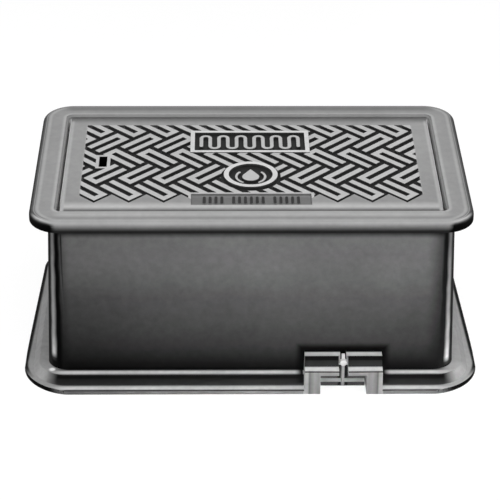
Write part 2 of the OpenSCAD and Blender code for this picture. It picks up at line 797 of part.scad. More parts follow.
box_body();
top_frame();
lid();
hinge_pin_front();
hinge_pin_rear();
pipe_plug();
frame_screws();
tap_bracket();
bracket_screws();
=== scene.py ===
"""Looks of the hose bib box: finish of every surface, signs on the lid, lights and camera."""
import math

import bmesh
import bpy
from mathutils import Matrix, Vector


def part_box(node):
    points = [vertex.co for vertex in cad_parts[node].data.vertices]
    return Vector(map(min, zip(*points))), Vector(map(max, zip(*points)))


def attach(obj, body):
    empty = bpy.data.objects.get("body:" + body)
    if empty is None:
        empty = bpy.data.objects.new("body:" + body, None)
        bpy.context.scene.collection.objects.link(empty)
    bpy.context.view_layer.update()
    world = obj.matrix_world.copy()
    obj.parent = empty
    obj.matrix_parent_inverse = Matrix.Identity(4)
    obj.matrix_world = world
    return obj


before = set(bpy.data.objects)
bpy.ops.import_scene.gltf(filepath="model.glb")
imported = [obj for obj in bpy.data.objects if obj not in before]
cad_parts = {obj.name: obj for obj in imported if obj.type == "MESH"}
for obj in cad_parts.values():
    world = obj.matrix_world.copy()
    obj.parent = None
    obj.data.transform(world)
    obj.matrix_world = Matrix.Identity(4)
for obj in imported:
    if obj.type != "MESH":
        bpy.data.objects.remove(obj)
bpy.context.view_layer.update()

MM = 0.001

# Camera, fitted to the photograph's perspective: metres and degrees
PHOTO_SIDE_PX = 500
FOCAL_PX = 2085.3
SENSOR_MM = 36
CAMERA_PLACE = Vector((-0.0247, -1.487, 0.93))
CAMERA_PITCH = 30.13
CAMERA_YAW = 0.96
CAMERA_ROLL = 0.40

# Places on the lid and the rim, in metres, as the CAD model has them
RIM_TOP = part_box("top_frame")[1].z
RIM_BAND_W = 21 * MM
OPENING_HALF = (151 * MM, 82 * MM)
OPENING_R = 4 * MM
OPENING_DEPTH = 14 * MM
LID_HALF = (149 * MM, 80 * MM)
LID_TOP = RIM_TOP - 1.6 * MM
LID_SKIN = 3.2 * MM
TREAD_DEPTH = 2 * MM
TREAD_PITCH = 27.1 * MM
TREAD_SHIFT = 6.2 * MM
TREAD_SIDE = 134.4 * MM
TREAD_REAR = 66.5 * MM
FRONT_ROW_Y = -46.6 * MM
PLATE_MIDDLE = (0, 36 * MM)
RING_MIDDLE = (0, -21 * MM)
STRIP_MIDDLE = (0, -61.6 * MM)
STRIP_HALF = (46.85 * MM, 8.65 * MM)
SLOT_MIDDLE = (-118.5 * MM, 1.5 * MM)
SLOT_HALF = (3 * MM, 8.5 * MM)

# Places on the body
LIP_TOP = 4 * MM
SHELF_TOP = 11 * MM
SHELF_SPOT = (-158.6 * MM, -93.2 * MM)
SHELF_SPOT_R = 3.4 * MM
WALL_TOP = 139.5 * MM
RIM_SHADE_FOOT = 128.2 * MM
RIM_SHADE_TOP = 134.6 * MM
WALL_FRONT_Y = -93.6 * MM
WALL_HALF_L = 162 * MM
HOOD_MIDDLE_X = 73.2 * MM
HOOD_HALF_W = 31 * MM
HOOD_TOP = 28.3 * MM
HOOD_LIP_TOP = 21.3 * MM
TUNNEL_HALF_W = 18.3 * MM
FLANGE_FRONT_Y = -113 * MM
FLANGE_CORE = (140.5 * MM, 71.5 * MM)
FLANGE_CORNER_R = 42 * MM
FLANGE_DRAW_IN = 0.0367
BOX_INSIDE_HALF = (160 * MM, 97 * MM)


def linear(tone):
    """Linear value of an sRGB tone from 0 to 255."""
    share = tone / 255
    return share / 12.92 if share <= 0.04045 else ((share + 0.055) / 1.055) ** 2.4


def grey(tone):
    value = linear(tone)
    return (value, value, value, 1)


class Nodes:
    """Short ways to make and join the nodes of one material or world."""

    def __init__(self, tree):
        self.tree = tree
        tree.nodes.clear()

    def add(self, kind, **settings):
        node = self.tree.nodes.new(kind)
        for name, value in settings.items():
            setattr(node, name, value)
        return node

    def link(self, output, socket):
        self.tree.links.new(output, socket)

    def fill(self, socket, value):
        """Gives the socket a constant, or links it to another node's output."""
        if isinstance(value, (int, float, tuple)):
            socket.default_value = value
        else:
            self.link(value, socket)

    def math(self, operation, a, b=0.0):
        node = self.add("ShaderNodeMath", operation=operation)
        for socket, value in zip(node.inputs, (a, b)):
            self.fill(socket, value)
        return node.outputs[0]

    def overlap(self, *masks):
        """1 where every mask is 1."""
        shared = masks[0]
        for mask in masks[1:]:
            shared = self.math("MULTIPLY", shared, mask)
        return shared

    def off(self, value, middle=0.0):
        """How far the value is off the middle, to either side."""
        return self.math("ABSOLUTE", self.math("SUBTRACT", value, middle))

    def place(self):
        return self.add("ShaderNodeTexCoord").outputs["Object"]

    def parts(self, vector):
        node = self.add("ShaderNodeSeparateXYZ")
        self.link(vector, node.inputs["Vector"])
        return node.outputs

    def surface(self):
        """Place on the piece and the surface's own direction, each as X, Y and Z."""
        normal = self.add("ShaderNodeTexCoord").outputs["Normal"]
        return self.parts(self.place()), self.parts(normal)

    def shifted(self, place, middle):
        """X and Y of the place, counted from the middle."""
        return [self.math("SUBTRACT", place[axis], at) for axis, at in zip(("X", "Y"), middle)]

    def noise(self, scale, detail=2.0, roughness=0.5, vector=None):
        node = self.add("ShaderNodeTexNoise")
        node.inputs["Scale"].default_value = scale
        node.inputs["Detail"].default_value = detail
        node.inputs["Roughness"].default_value = roughness
        self.link(vector or self.place(), node.inputs["Vector"])
        return node.outputs["Fac"]

    def span(self, value, start, end, to_range=(0, 1), shape="LINEAR"):
        """The stretch of value from start to end, mapped onto the range."""
        node = self.add("ShaderNodeMapRange", interpolation_type=shape)
        self.link(value, node.inputs["Value"])
        node.inputs["From Min"].default_value = start
        node.inputs["From Max"].default_value = end
        node.inputs["To Min"].default_value = to_range[0]
        node.inputs["To Max"].default_value = to_range[1]
        return node.outputs["Result"]

    def between(self, value, start, end):
        """Smooth step from 0 where the value is start to 1 where it is end."""
        return self.span(value, start, end, shape="SMOOTHSTEP")

    def ramp(self, value, stops, shape="LINEAR"):
        node = self.add("ShaderNodeValToRGB")
        node.color_ramp.interpolation = shape
        elements = node.color_ramp.elements
        while len(elements) < len(stops):
            elements.new(0.5)
        for element, (place, colour) in zip(elements, stops):
            element.position = place
            element.color = colour
        self.link(value, node.inputs["Fac"])
        return node.outputs["Color"]

    def tones(self, value, stops, shape="LINEAR"):
        """Grey that follows the value through stops of (value, tone)."""
        low, high = stops[0][0], stops[-1][0]
        share = self.span(value, low, high)
        return self.ramp(share, [((at - low) / (high - low), grey(tone)) for at, tone in stops], shape)

    def bands(self, value, stops):
        """Grey bands that run softly from one stop of (value, tone) to the next."""
        return self.tones(value, stops, "EASE")

    def mix(self, share, a, b, blend="MIX"):
        node = self.add("ShaderNodeMix", data_type="RGBA", blend_type=blend)
        for index, value in ((0, share), (6, a), (7, b)):
            self.fill(node.inputs[index], value)
        return node.outputs[2]

    def brightness(self, colour):
        node = self.add("ShaderNodeRGBToBW")
        self.link(colour, node.inputs["Color"])
        return node.outputs["Val"]

    def bump(self, shader, height, strength, depth):
        node = self.add("ShaderNodeBump")
        node.inputs["Strength"].default_value = strength
        node.inputs["Distance"].default_value = depth
        self.link(height, node.inputs["Height"])
        self.link(node.outputs["Normal"], shader.inputs["Normal"])

    def mix_shader(self, share, a, b):
        node = self.add("ShaderNodeMixShader")
        for socket, value in zip(node.inputs, (share, a, b)):
            self.link(value, socket)
        return node.outputs[0]

    def finish(self, surface, kind="ShaderNodeOutputMaterial"):
        self.link(surface, self.add(kind).inputs["Surface"])


def new_material(name):
    material = bpy.data.materials.new(name)
    material.use_nodes = True
    return material, Nodes(material.node_tree)


# Matt plastic: noise scales are per metre, and the specular level grows with the brightness
FINE_GRAIN, COARSE_GRAIN, FLOW_MARKS = 2600, 420, 38
FINE_SHARE, COARSE_SHARE = 0.7, 0.5
GRAIN_STRENGTH = 0.25
GRAIN_DEPTH = 0.12 * MM
PLASTIC_ROUGHNESS = (0.42, 0.58)
PLASTIC_SPECULAR = (0.03, 0.45)
FULL_SPECULAR_AT = 0.35
CLOUD_SCALES = (16, 170)
CLOUD_DETAIL, CLOUD_ROUGHNESS = 5, 0.6
CLOUD_ENDS = (0.3, 0.7)


def finish_plastic(nodes, colour):
    """Matt moulded plastic: fine grain, faint flow marks and uneven gloss."""
    shader = nodes.add("ShaderNodeBsdfPrincipled")
    nodes.link(colour, shader.inputs["Base Color"])
    specular = nodes.span(nodes.brightness(colour), 0, FULL_SPECULAR_AT, PLASTIC_SPECULAR)
    nodes.link(specular, shader.inputs["Specular IOR Level"])
    roughness = nodes.span(nodes.noise(FLOW_MARKS, detail=4), 0, 1, PLASTIC_ROUGHNESS)
    nodes.link(roughness, shader.inputs["Roughness"])
    fine = nodes.math("MULTIPLY", nodes.noise(FINE_GRAIN), FINE_SHARE)
    coarse = nodes.math("MULTIPLY", nodes.noise(COARSE_GRAIN, detail=3), COARSE_SHARE)
    nodes.bump(shader, nodes.math("ADD", fine, coarse), GRAIN_STRENGTH, GRAIN_DEPTH)
    nodes.finish(shader.outputs["BSDF"])


def clouded(nodes, colour, strength):
    """The colour made slightly uneven in wide and in small patches, as dust and handling leave it."""
    shades = [(share, share, share, 1) for share in (1 - strength, 1 + strength)]
    for scale in CLOUD_SCALES:
        noise = nodes.noise(scale, CLOUD_DETAIL, CLOUD_ROUGHNESS)
        shade = nodes.ramp(noise, list(zip(CLOUD_ENDS, shades)))
        colour = nodes.mix(1.0, colour, shade, "MULTIPLY")
    return colour


# Tones of the plug: painted light on its level tops, painted shade on its sides and on its panel
FOOT_TOP_LIT, KNOB_TOP_LIT = grey(190), grey(252)
KNOB_FACE, PLUG_SIDE_SHADE = grey(215), grey(40)
PLUG_CLOUDS = 0.05


def plug_plastic():
    """Pale plug, with painted shade on its panel, darkest beside the fin, and on the fin's sides, and
    painted light on its level tops.
    """
    material, nodes = new_material("plug_plastic")
    place, normal = nodes.surface()
    level = nodes.between(normal["Z"], 0.4, 0.8)
    to_side = nodes.between(nodes.off(normal["X"]), 0.7, 0.95)
    on_knob = nodes.between(place["Z"], HOOD_LIP_TOP - 3 * MM, HOOD_LIP_TOP)
    # Painted shade on the panel under the hood, darkest just beside the fin
    panel = nodes.tones(nodes.off(place["X"], HOOD_MIDDLE_X), [
        (0, 160), (0.9 * MM, 150), (1.7 * MM, 22), (3.4 * MM, 22), (4.4 * MM, 70), (TUNNEL_HALF_W, 70)])
    front = nodes.mix(on_knob, panel, KNOB_FACE)
    colour = nodes.mix(level, front, nodes.mix(on_knob, KNOB_TOP_LIT, FOOT_TOP_LIT))
    colour = nodes.mix(to_side, colour, PLUG_SIDE_SHADE)
    finish_plastic(nodes, clouded(nodes, colour, PLUG_CLOUDS))
    return material


def outward(nodes, offsets, half):
    """How far a point lies outside the rectangle of the half sizes; negative inside it."""
    beyond = [nodes.math("SUBTRACT", nodes.off(offset), size) for offset, size in zip(offsets, half)]
    return nodes.math("MAXIMUM", *beyond)


def past_core(nodes, x, y, core):
    """How far a point lies past the core rectangle: along X, along Y, and straight from it."""
    out_x, out_y = [nodes.math("MAXIMUM", nodes.math("SUBTRACT", nodes.off(offset), half), 0)
                    for offset, half in zip((x, y), core)]
    squares = [nodes.math("MULTIPLY", value, value) for value in (out_x, out_y)]
    return out_x, out_y, nodes.math("SQRT", nodes.math("ADD", *squares))


# Tones of the body: painted light and shade, set by place and by the way each face turns
FLANGE_EDGE_SHADE, HOOD_SHADE, SPOT_HIGHLIGHT = grey(20), grey(6), grey(255)
LIP_FACE, LIP_FACE_SHADE_AT_END = grey(126), grey(10)
SLOPE_LIT_AT_END = grey(140)
SHELF_LIT_LEFT, SHELF_LIT_RIGHT = grey(150), grey(165)
WALL_END_SHADE, CORNER_SHADE_LINE, RIM_SHADE = grey(22), grey(28), grey(50)
WALL_END_SHADE_SHARE = 0.85
CORNER_SHADE_LEFT, CORNER_SHADE_RIGHT = grey(8), grey(26)
BODY_CLOUDS = 0.10

# Directions of the body's faces, by the normal's Z
SLOPE_FROM, SLOPE_TO = (0.3, 0.4), (0.9, 0.8)
LEVEL = (0.88, 0.97)

# Painted shade and highlight bands round the wall's corners, by how far the surface faces sideways
DARK_BAND = (0.12, 0.34)
LIGHT_BAND = (0.45, 0.66)
OUTER_LINE = (0.7, 0.84)
END_WALL = (0.97, 0.995)


def flange_edge_shade(nodes, place):
    """1 on the flange's outer edge, at its sides and front corners, where a dark line of shade is
    painted.
    """
    rearward = nodes.math("MAXIMUM", nodes.math("SUBTRACT", place["Y"], -FLANGE_CORE[1]), 0)
    drawn_in = nodes.math("MULTIPLY", rearward, FLANGE_DRAW_IN)
    x = nodes.math("ADD", nodes.off(place["X"]), drawn_in)
    y = nodes.math("MINIMUM", place["Y"], 0)
    out_x, out_y, radius = past_core(nodes, x, y, FLANGE_CORE)
    at_edge = nodes.between(radius, FLANGE_CORNER_R - 3.8 * MM, FLANGE_CORNER_R - 2 * MM)
    far_out = nodes.between(out_x, 8 * MM, 20 * MM)
    off_front = nodes.between(out_y, 26 * MM, 8 * MM)
    low = nodes.between(place["Z"], LIP_TOP + 1.5 * MM, LIP_TOP + 0.5 * MM)
    return nodes.overlap(at_edge, far_out, off_front, low)


def wall_end_shade_mask(nodes, place, sideways):
    """1 on the front wall beside its corners, where shade is painted."""
    from_left = nodes.math("ADD", place["X"], WALL_HALF_L)
    from_right = nodes.math("SUBTRACT", WALL_HALF_L, place["X"])
    left = nodes.between(from_left, 21 * MM, 8 * MM)
    right = nodes.between(from_right, 27 * MM, 8 * MM)
    return nodes.overlap(nodes.math("MAXIMUM", left, right), nodes.between(sideways, 0.6, 0.4))


def corner_highlight(nodes, place):
    """Painted highlight band of the corners, brightest near the foot and a little higher up on the left.
    """
    tilt = 0.015
    height = nodes.math("ADD", place["Z"], nodes.math("MULTIPLY", place["X"], tilt))
    return nodes.tones(height, [
        (0, 10), (14 * MM, 10), (17.5 * MM, 60), (22 * MM, 225), (40 * MM, 170), (WALL_TOP, 130)])


def wall_tone(nodes, place, sideways):
    """Wall with painted shade: light at the top, dark at the foot and beside its corners, which have a
    painted highlight band.
    """
    # Painted shade: the wall darkens from its top to its foot, with a painted shadow under the rim
    flat = nodes.tones(place["Z"], [
        (0, 40), (SHELF_TOP, 6), (16 * MM, 18), (37 * MM, 56), (76 * MM, 89), (115 * MM, 137),
        (RIM_SHADE_FOOT, 162)])
    flat = nodes.mix(nodes.between(place["Z"], RIM_SHADE_FOOT, RIM_SHADE_TOP), flat, RIM_SHADE)
    end_share = nodes.math("MULTIPLY", wall_end_shade_mask(nodes, place, sideways), WALL_END_SHADE_SHARE)
    corner = nodes.mix(nodes.between(place["X"], -50 * MM, 50 * MM), CORNER_SHADE_LEFT, CORNER_SHADE_RIGHT)
    colour = nodes.mix(end_share, flat, WALL_END_SHADE)
    colour = nodes.mix(nodes.between(sideways, *DARK_BAND), colour, corner)
    colour = nodes.mix(nodes.between(sideways, *LIGHT_BAND), colour, corner_highlight(nodes, place))
    colour = nodes.mix(nodes.between(sideways, *OUTER_LINE), colour, CORNER_SHADE_LINE)
    return nodes.mix(nodes.between(sideways, *END_WALL), colour, flat)


def hood_mask(nodes, place):
    """1 on the hood, in front of the wall."""
    off_hood = nodes.off(place["X"], HOOD_MIDDLE_X)
    across = nodes.between(off_hood, HOOD_HALF_W + 0.9 * MM, HOOD_HALF_W + 0.5 * MM)
    before_wall = nodes.between(place["Y"], WALL_FRONT_Y - 1 * MM, WALL_FRONT_Y - 2 * MM)
    return nodes.overlap(across, before_wall)


def hood_shade_mask(nodes, place, on_hood):
    """1 on the wall and flange close round the hood, where shade is painted."""
    across = nodes.math("SUBTRACT", place["X"], HOOD_MIDDLE_X)
    off_hood = outward(nodes, (across, place["Z"]), (HOOD_HALF_W, HOOD_TOP))
    close = nodes.between(off_hood, 8 * MM, 1.5 * MM)
    above_lip = nodes.between(place["Z"], LIP_TOP + 0.5 * MM, LIP_TOP + 2 * MM)
    outside = nodes.between(place["Y"], WALL_FRONT_Y + 4 * MM, WALL_FRONT_Y + 2 * MM)
    return nodes.overlap(close, above_lip, nodes.math("SUBTRACT", 1, on_hood), outside)


def upright_tone(nodes, place, sideways, on_hood):
    """Upright faces, with painted light and shade: the wall, the lip's edge below it, darker at its ends,
    and the front of the hood.
    """
    lip_face = nodes.mix(nodes.between(sideways, 0.15, 0.5), LIP_FACE, LIP_FACE_SHADE_AT_END)
    on_lip = nodes.between(place["Z"], LIP_TOP + 0.3 * MM, LIP_TOP - 0.5 * MM)
    hood_face = nodes.tones(nodes.off(place["X"], HOOD_MIDDLE_X), [
        (TUNNEL_HALF_W, 148), (20 * MM, 132), (23 * MM, 143), (26 * MM, 118), (27 * MM, 96),
        (28.3 * MM, 156), (HOOD_HALF_W, 166)])
    colour = nodes.mix(on_lip, wall_tone(nodes, place, sideways), lip_face)
    return nodes.mix(on_hood, colour, hood_face)


def slope_tone(nodes, place, sideways, on_hood):
    """Sloping faces, with painted light and shade: the flange's step, dark in front and light at its
    ends, and the hood's dark slope.
    """
    front = nodes.tones(place["Z"], [
        (LIP_TOP, 50), (5 * MM, 34), (7.5 * MM, 26), (9 * MM, 6), (10.3 * MM, 10), (SHELF_TOP, 60)])
    hood = nodes.tones(place["Z"], [
        (HOOD_LIP_TOP, 40), (HOOD_LIP_TOP + 4 * MM, 30), (HOOD_TOP - 2.5 * MM, 4), (HOOD_TOP, 4)])
    flange = nodes.mix(nodes.between(sideways, 0.2, 0.6), front, SLOPE_LIT_AT_END)
    return nodes.mix(on_hood, flange, hood)


def level_tone(nodes, place, on_hood):
    """Level faces: lip, shelf and hood, with bands of painted light and shade by the distance behind the
    flange's front edge, and shelf ends painted lighter on the right.
    """
    rearward = nodes.math("SUBTRACT", place["Y"], FLANGE_FRONT_Y)
    front = nodes.bands(rearward, [
        (0, 125), (2.3 * MM, 212), (4.4 * MM, 207), (7.2 * MM, 108), (11.8 * MM, 118),
        (14.6 * MM, 216), (16.2 * MM, 212), (19.1 * MM, 22)])
    hood = nodes.tones(rearward, [
        (0, 170), (2 * MM, 214), (5 * MM, 216), (7 * MM, 186), (12 * MM, 170), (15 * MM, 200),
        (17.5 * MM, 192), (19.4 * MM, 90)])
    side = nodes.mix(nodes.between(place["X"], -50 * MM, 50 * MM), SHELF_LIT_LEFT, SHELF_LIT_RIGHT)
    far_out = nodes.between(nodes.off(place["X"]), 145 * MM, WALL_HALF_L)
    return nodes.mix(on_hood, nodes.mix(far_out, front, side), hood)


def highlight_spot_mask(nodes, place):
    """1 on the painted highlight spot where the shelf turns round the left front corner."""
    _, _, distance = past_core(nodes, *nodes.shifted(place, SHELF_SPOT), (0, 0))
    return nodes.between(distance, SHELF_SPOT_R, 1.2 * MM)


def body_plastic():
    """Body: light and shade painted on the wall, flange and hood by place and by the way each face turns,
    with painted shade round the hood and along the flange's edge, and a painted highlight spot.
    """
    material, nodes = new_material("body_plastic")
    place, normal = nodes.surface()
    sideways = nodes.off(normal["X"])
    on_hood = hood_mask(nodes, place)
    not_upright = nodes.between(normal["Z"], *SLOPE_FROM)
    sloping = nodes.overlap(not_upright, nodes.between(normal["Z"], *SLOPE_TO))
    level = nodes.between(normal["Z"], *LEVEL)
    colour = upright_tone(nodes, place, sideways, on_hood)
    colour = nodes.mix(sloping, colour, slope_tone(nodes, place, sideways, on_hood))
    colour = nodes.mix(level, colour, level_tone(nodes, place, on_hood))
    colour = nodes.mix(nodes.overlap(highlight_spot_mask(nodes, place), level), colour, SPOT_HIGHLIGHT)
    colour = nodes.mix(hood_shade_mask(nodes, place, on_hood), colour, HOOD_SHADE)
    colour = nodes.mix(flange_edge_shade(nodes, place), colour, FLANGE_EDGE_SHADE)
    finish_plastic(nodes, clouded(nodes, colour, BODY_CLOUDS))
    return material


# Directions of the rim's faces: level, just off level, and turned to the sides or the rear
RIM_LEVEL, RIM_NOT_LEVEL = (0.985, 0.998), (0.985, 0.9)
RIM_TURNED = (0.1, 0.3)
FRAME_CLOUDS = 0.06


def nose_tone(nodes, place, normal):
    """Front edge of the rim: a painted highlight on the nose that turns into the skirt, with painted
    shade darker towards its foot.
    """
    nose = nodes.tones(normal["Z"], [(0, 122), (0.4, 140), (0.88, 168), (1, 160)])
    skirt = nodes.bands(place["Z"], [(RIM_TOP - 7.2 * MM, 46), (RIM_TOP - 3.8 * MM, 122)])
    return nodes.mix(nodes.between(normal["Z"], 0.12, 0.02), nose, skirt)


def rim_side_tone(nodes, normal):
    """Edge of the rim at its ends and rear, with painted shade halfway down, and painted light on its
    front corners.
    """
    side = nodes.tones(normal["Z"], [
        (0, 60), (0.15, 55), (0.35, 20), (0.75, 42), (0.93, 80), (0.97, 104), (0.985, 125), (1, 142)])
    corner = nodes.tones(normal["Z"], [
        (0, 5), (0.35, 8), (0.55, 50), (0.72, 130), (0.85, 185), (0.95, 180), (1, 148)])
    return nodes.mix(nodes.between(normal["Y"], -0.12, -0.35), side, corner)


def rim_top_tone(nodes, place, beyond, on_long_bar):
    """Level top of the rim, with bands of painted highlight and shade by the distance beyond the opening.
    """
    front = nodes.bands(beyond, [(0, 126), (5.7 * MM, 184), (12.3 * MM, 142), (16.5 * MM, 168)])
    side = nodes.bands(beyond, [
        (0, 128), (2.5 * MM, 176), (5 * MM, 150), (12.3 * MM, 148), (14.5 * MM, 168),
        (18.2 * MM, 70), (RIM_BAND_W, 50)])
    rear = nodes.bands(beyond, [(0, 145), (4.5 * MM, 152), (12 * MM, 117), (RIM_BAND_W, 150)])
    long_bar = nodes.mix(nodes.between(place["Y"], -20 * MM, 20 * MM), front, rear)
    return nodes.mix(on_long_bar, side, long_bar)


def opening_wall_tone(nodes, place, on_long_bar):
    """Wall of the opening, light deep in the gaps at the lid's ends, as the photograph shows them."""
    # Painted light: the opening's wall is made light against the shade in the gaps, most deep down at the
    # ends, and its top at the ends painted darker as shade
    floor_z = RIM_TOP - OPENING_DEPTH
    side = nodes.tones(place["Z"], [
        (floor_z, 190), (RIM_TOP - 8 * MM, 250), (RIM_TOP - 5 * MM, 240), (RIM_TOP - 2.8 * MM, 145),
        (RIM_TOP, 118)])
    long_bar = nodes.tones(place["Z"], [
        (floor_z, 110), (RIM_TOP - 4 * MM, 125), (RIM_TOP - 1.5 * MM, 145), (RIM_TOP, 162)])
    return nodes.mix(on_long_bar, side, long_bar)


def frame_plastic():
    """Rim: painted light and shade bands along its top, a painted highlight on the nose in front, painted
    shade on the edges at the ends, and an opening wall painted light deep down.
    """
    material, nodes = new_material("frame_plastic")
    place, normal = nodes.surface()
    core = [half - OPENING_R for half in OPENING_HALF]
    out_x, out_y, radius = past_core(nodes, place["X"], place["Y"], core)
    beyond = nodes.math("SUBTRACT", radius, OPENING_R)
    on_long_bar = nodes.between(nodes.math("SUBTRACT", out_y, out_x), 0, 17 * MM)
    to_side = nodes.between(nodes.off(normal["X"]), *RIM_TURNED)
    to_rear = nodes.between(normal["Y"], *RIM_TURNED)
    turned = nodes.math("MAXIMUM", to_side, to_rear)
    level = nodes.between(normal["Z"], *RIM_LEVEL)
    not_level = nodes.between(normal["Z"], *RIM_NOT_LEVEL)
    in_opening = nodes.overlap(nodes.between(beyond, 1.9 * MM, 1.6 * MM), not_level)
    colour = nodes.mix(turned, nose_tone(nodes, place, normal), rim_side_tone(nodes, normal))
    colour = nodes.mix(level, colour, rim_top_tone(nodes, place, beyond, on_long_bar))
    colour = nodes.mix(in_opening, colour, opening_wall_tone(nodes, place, on_long_bar))
    finish_plastic(nodes, clouded(nodes, colour, FRAME_CLOUDS))
    return material


# Tones of the lid: painted highlights on the ridges, raised borders and margin, and painted shade on the
# chamfers, sunk floors, groove walls and slot
RIDGE_HIGHLIGHT, RAISED_BORDER_HIGHLIGHT, RIDGE_CHAMFER_SHADE = grey(196), grey(222), grey(86)
MARGIN_HIGHLIGHT, SUNK_FLOOR_SHADE, GROOVE_WALL_SHADE = grey(178), grey(44), grey(50)
STRIP_RIB, STRIP_WALL_LIT = grey(48), grey(140)
WALL_SHARE = 0.75
UNDERSIDE, SLOT_SHADE = grey(112), grey(4)
LID_CLOUDS = 0.06


def tread_mask(nodes, place):
    """1 on the tread, with its zigzag front edge, and 0 on the lid's bare border."""
    sides = nodes.between(nodes.off(place["X"]), TREAD_SIDE + 1 * MM, TREAD_SIDE - 1 * MM)
    rear = nodes.between(place["Y"], TREAD_REAR + 1 * MM, TREAD_REAR - 1 * MM)
    lowest_x = TREAD_SHIFT + TREAD_PITCH / 4
    along = nodes.math("SUBTRACT", place["X"], lowest_x)
    zigzag = nodes.math("PINGPONG", along, TREAD_PITCH / 2)
    behind = nodes.math("SUBTRACT", place["Y"], zigzag)
    front_y = FRONT_ROW_Y - 0.75 * TREAD_PITCH
    front = nodes.between(behind, front_y - 0.3 * MM, front_y + 0.3 * MM)
    return nodes.overlap(sides, rear, front)


def margin_tone(nodes, place, past_end):
    """Bare border of the lid: painted highlight in front and along its ends, and painted shade at the
    gaps.
    """
    margin = nodes.bands(place["Y"], [
        (-79.6 * MM, 105), (-73.3 * MM, 190), (-64 * MM, 148), (68 * MM, 155), (79.6 * MM, 102)])
    along_end = nodes.between(past_end, -4.5 * MM, -2.5 * MM)
    before_rear = nodes.between(place["Y"], 76 * MM, 70 * MM)
    return nodes.mix(nodes.overlap(along_end, before_rear), margin, MARGIN_HIGHLIGHT)


def with_sunk_floors(nodes, place, colour, field, on_strip):
    """The colour, with painted shade on the floors between the ridges and a paler floor on the strip."""
    strip_floor = nodes.tones(nodes.off(place["Y"], STRIP_MIDDLE[1]), [
        (0, 120), (5.5 * MM, 122), (7 * MM, 132), (STRIP_HALF[1], 145)])
    sunk = nodes.between(place["Z"], LID_TOP - 0.4 * MM, LID_TOP - 1.6 * MM)
    near_top = nodes.between(place["Z"], LID_TOP - 2.6 * MM, LID_TOP - 2.3 * MM)
    shaded_floor = nodes.overlap(sunk, near_top, nodes.math("MAXIMUM", field, on_strip))
    return nodes.mix(shaded_floor, colour, nodes.mix(on_strip, SUNK_FLOOR_SHADE, strip_floor))


def with_upright_walls(nodes, place, normal, colour, off_strip, past_end):
    """The colour, with painted shade on the grooves' walls, painted light on the strip's wall, and
    painted light on the lid's ends, which face the side gaps, darker towards the front.
    """
    near_strip = nodes.between(off_strip, 1 * MM, 0.6 * MM)
    wall = nodes.mix(near_strip, GROOVE_WALL_SHADE, STRIP_WALL_LIT)
    wall_share = nodes.math("MULTIPLY", nodes.between(normal["Z"], 0.35, 0.05), WALL_SHARE)
    end_wall = nodes.tones(place["Y"], [(-74 * MM, 40), (-62 * MM, 250)])
    at_end = nodes.between(past_end, -1 * MM, -0.4 * MM)
    on_end = nodes.overlap(at_end, nodes.between(normal["Z"], 0.98, 0.8))
    return nodes.mix(on_end, nodes.mix(wall_share, colour, wall), end_wall)


def lid_plastic():
    """Lid: painted highlight on the ridges and raised borders, painted shade on the floors and walls
    between them, and a slot painted dark as shade.
    """
    material, nodes = new_material("lid_plastic")
    place, normal = nodes.surface()
    field = tread_mask(nodes, place)
    past_end = nodes.math("SUBTRACT", nodes.off(place["X"]), LID_HALF[0])
    off_strip = outward(nodes, nodes.shifted(place, STRIP_MIDDLE), STRIP_HALF)
    off_slot = outward(nodes, nodes.shifted(place, SLOT_MIDDLE), SLOT_HALF)
    on_strip = nodes.between(off_strip, 0.5 * MM, 0)
    raised = nodes.between(place["Z"], LID_TOP + 0.1 * MM, LID_TOP + 0.4 * MM)
    chamfer = nodes.overlap(nodes.between(normal["Z"], 0.97, 0.8), field)
    beneath = nodes.between(place["Z"], LID_TOP - LID_SKIN, LID_TOP - LID_SKIN - 0.8 * MM)
    colour = nodes.mix(field, margin_tone(nodes, place, past_end), RIDGE_HIGHLIGHT)
    colour = nodes.mix(raised, colour, RAISED_BORDER_HIGHLIGHT)
    # Painted shade on the chamfers of the ridges
    colour = nodes.mix(chamfer, colour, RIDGE_CHAMFER_SHADE)
    colour = nodes.mix(on_strip, colour, STRIP_RIB)
    colour = with_sunk_floors(nodes, place, colour, field, on_strip)
    colour = with_upright_walls(nodes, place, normal, colour, off_strip, past_end)
    colour = nodes.mix(beneath, colour, UNDERSIDE)
    # Painted shade inside the slot
    colour = nodes.mix(nodes.between(off_slot, 0.4 * MM, 0.1 * MM), colour, SLOT_SHADE)
    finish_plastic(nodes, clouded(nodes, colour, LID_CLOUDS))
    return material


# Stainless steel: the brushing's noise is stretched along Z
BRUSH_SCALE = 2200
BRUSH_STRETCH = 0.02
BRUSH_TONES = ((0.25, -18), (0.75, 8))
STEEL_ROUGHNESS = (0.28, 0.45)
BRUSH_STRENGTH = 0.15
BRUSH_DEPTH = 0.05 * MM
SATIN_TONE, SHEET_TONE = 190, 200


def brushed_steel(name, tone):
    """Stainless steel with fine brushing along Z."""
    material, nodes = new_material(name)
    stretch = nodes.add("ShaderNodeMapping")
    stretch.inputs["Scale"].default_value = (1.0, 1.0, BRUSH_STRETCH)
    nodes.link(nodes.place(), stretch.inputs["Vector"])
    lines = nodes.noise(BRUSH_SCALE, vector=stretch.outputs["Vector"])
    shader = nodes.add("ShaderNodeBsdfPrincipled")
    shader.inputs["Metallic"].default_value = 1.0
    colour = nodes.ramp(lines, [(at, grey(tone + change)) for at, change in BRUSH_TONES])
    nodes.link(colour, shader.inputs["Base Color"])
    nodes.link(nodes.span(lines, 0, 1, STEEL_ROUGHNESS), shader.inputs["Roughness"])
    nodes.bump(shader, lines, BRUSH_STRENGTH, BRUSH_DEPTH)
    nodes.finish(shader.outputs["BSDF"])
    return material


# Small roundings of the edges that the CAD model leaves sharp
WELD_REACH = 0.001 * MM
EDGE_STEPS = 2
SHARP_ANGLE = 35
NORMAL_WEIGHT = 100


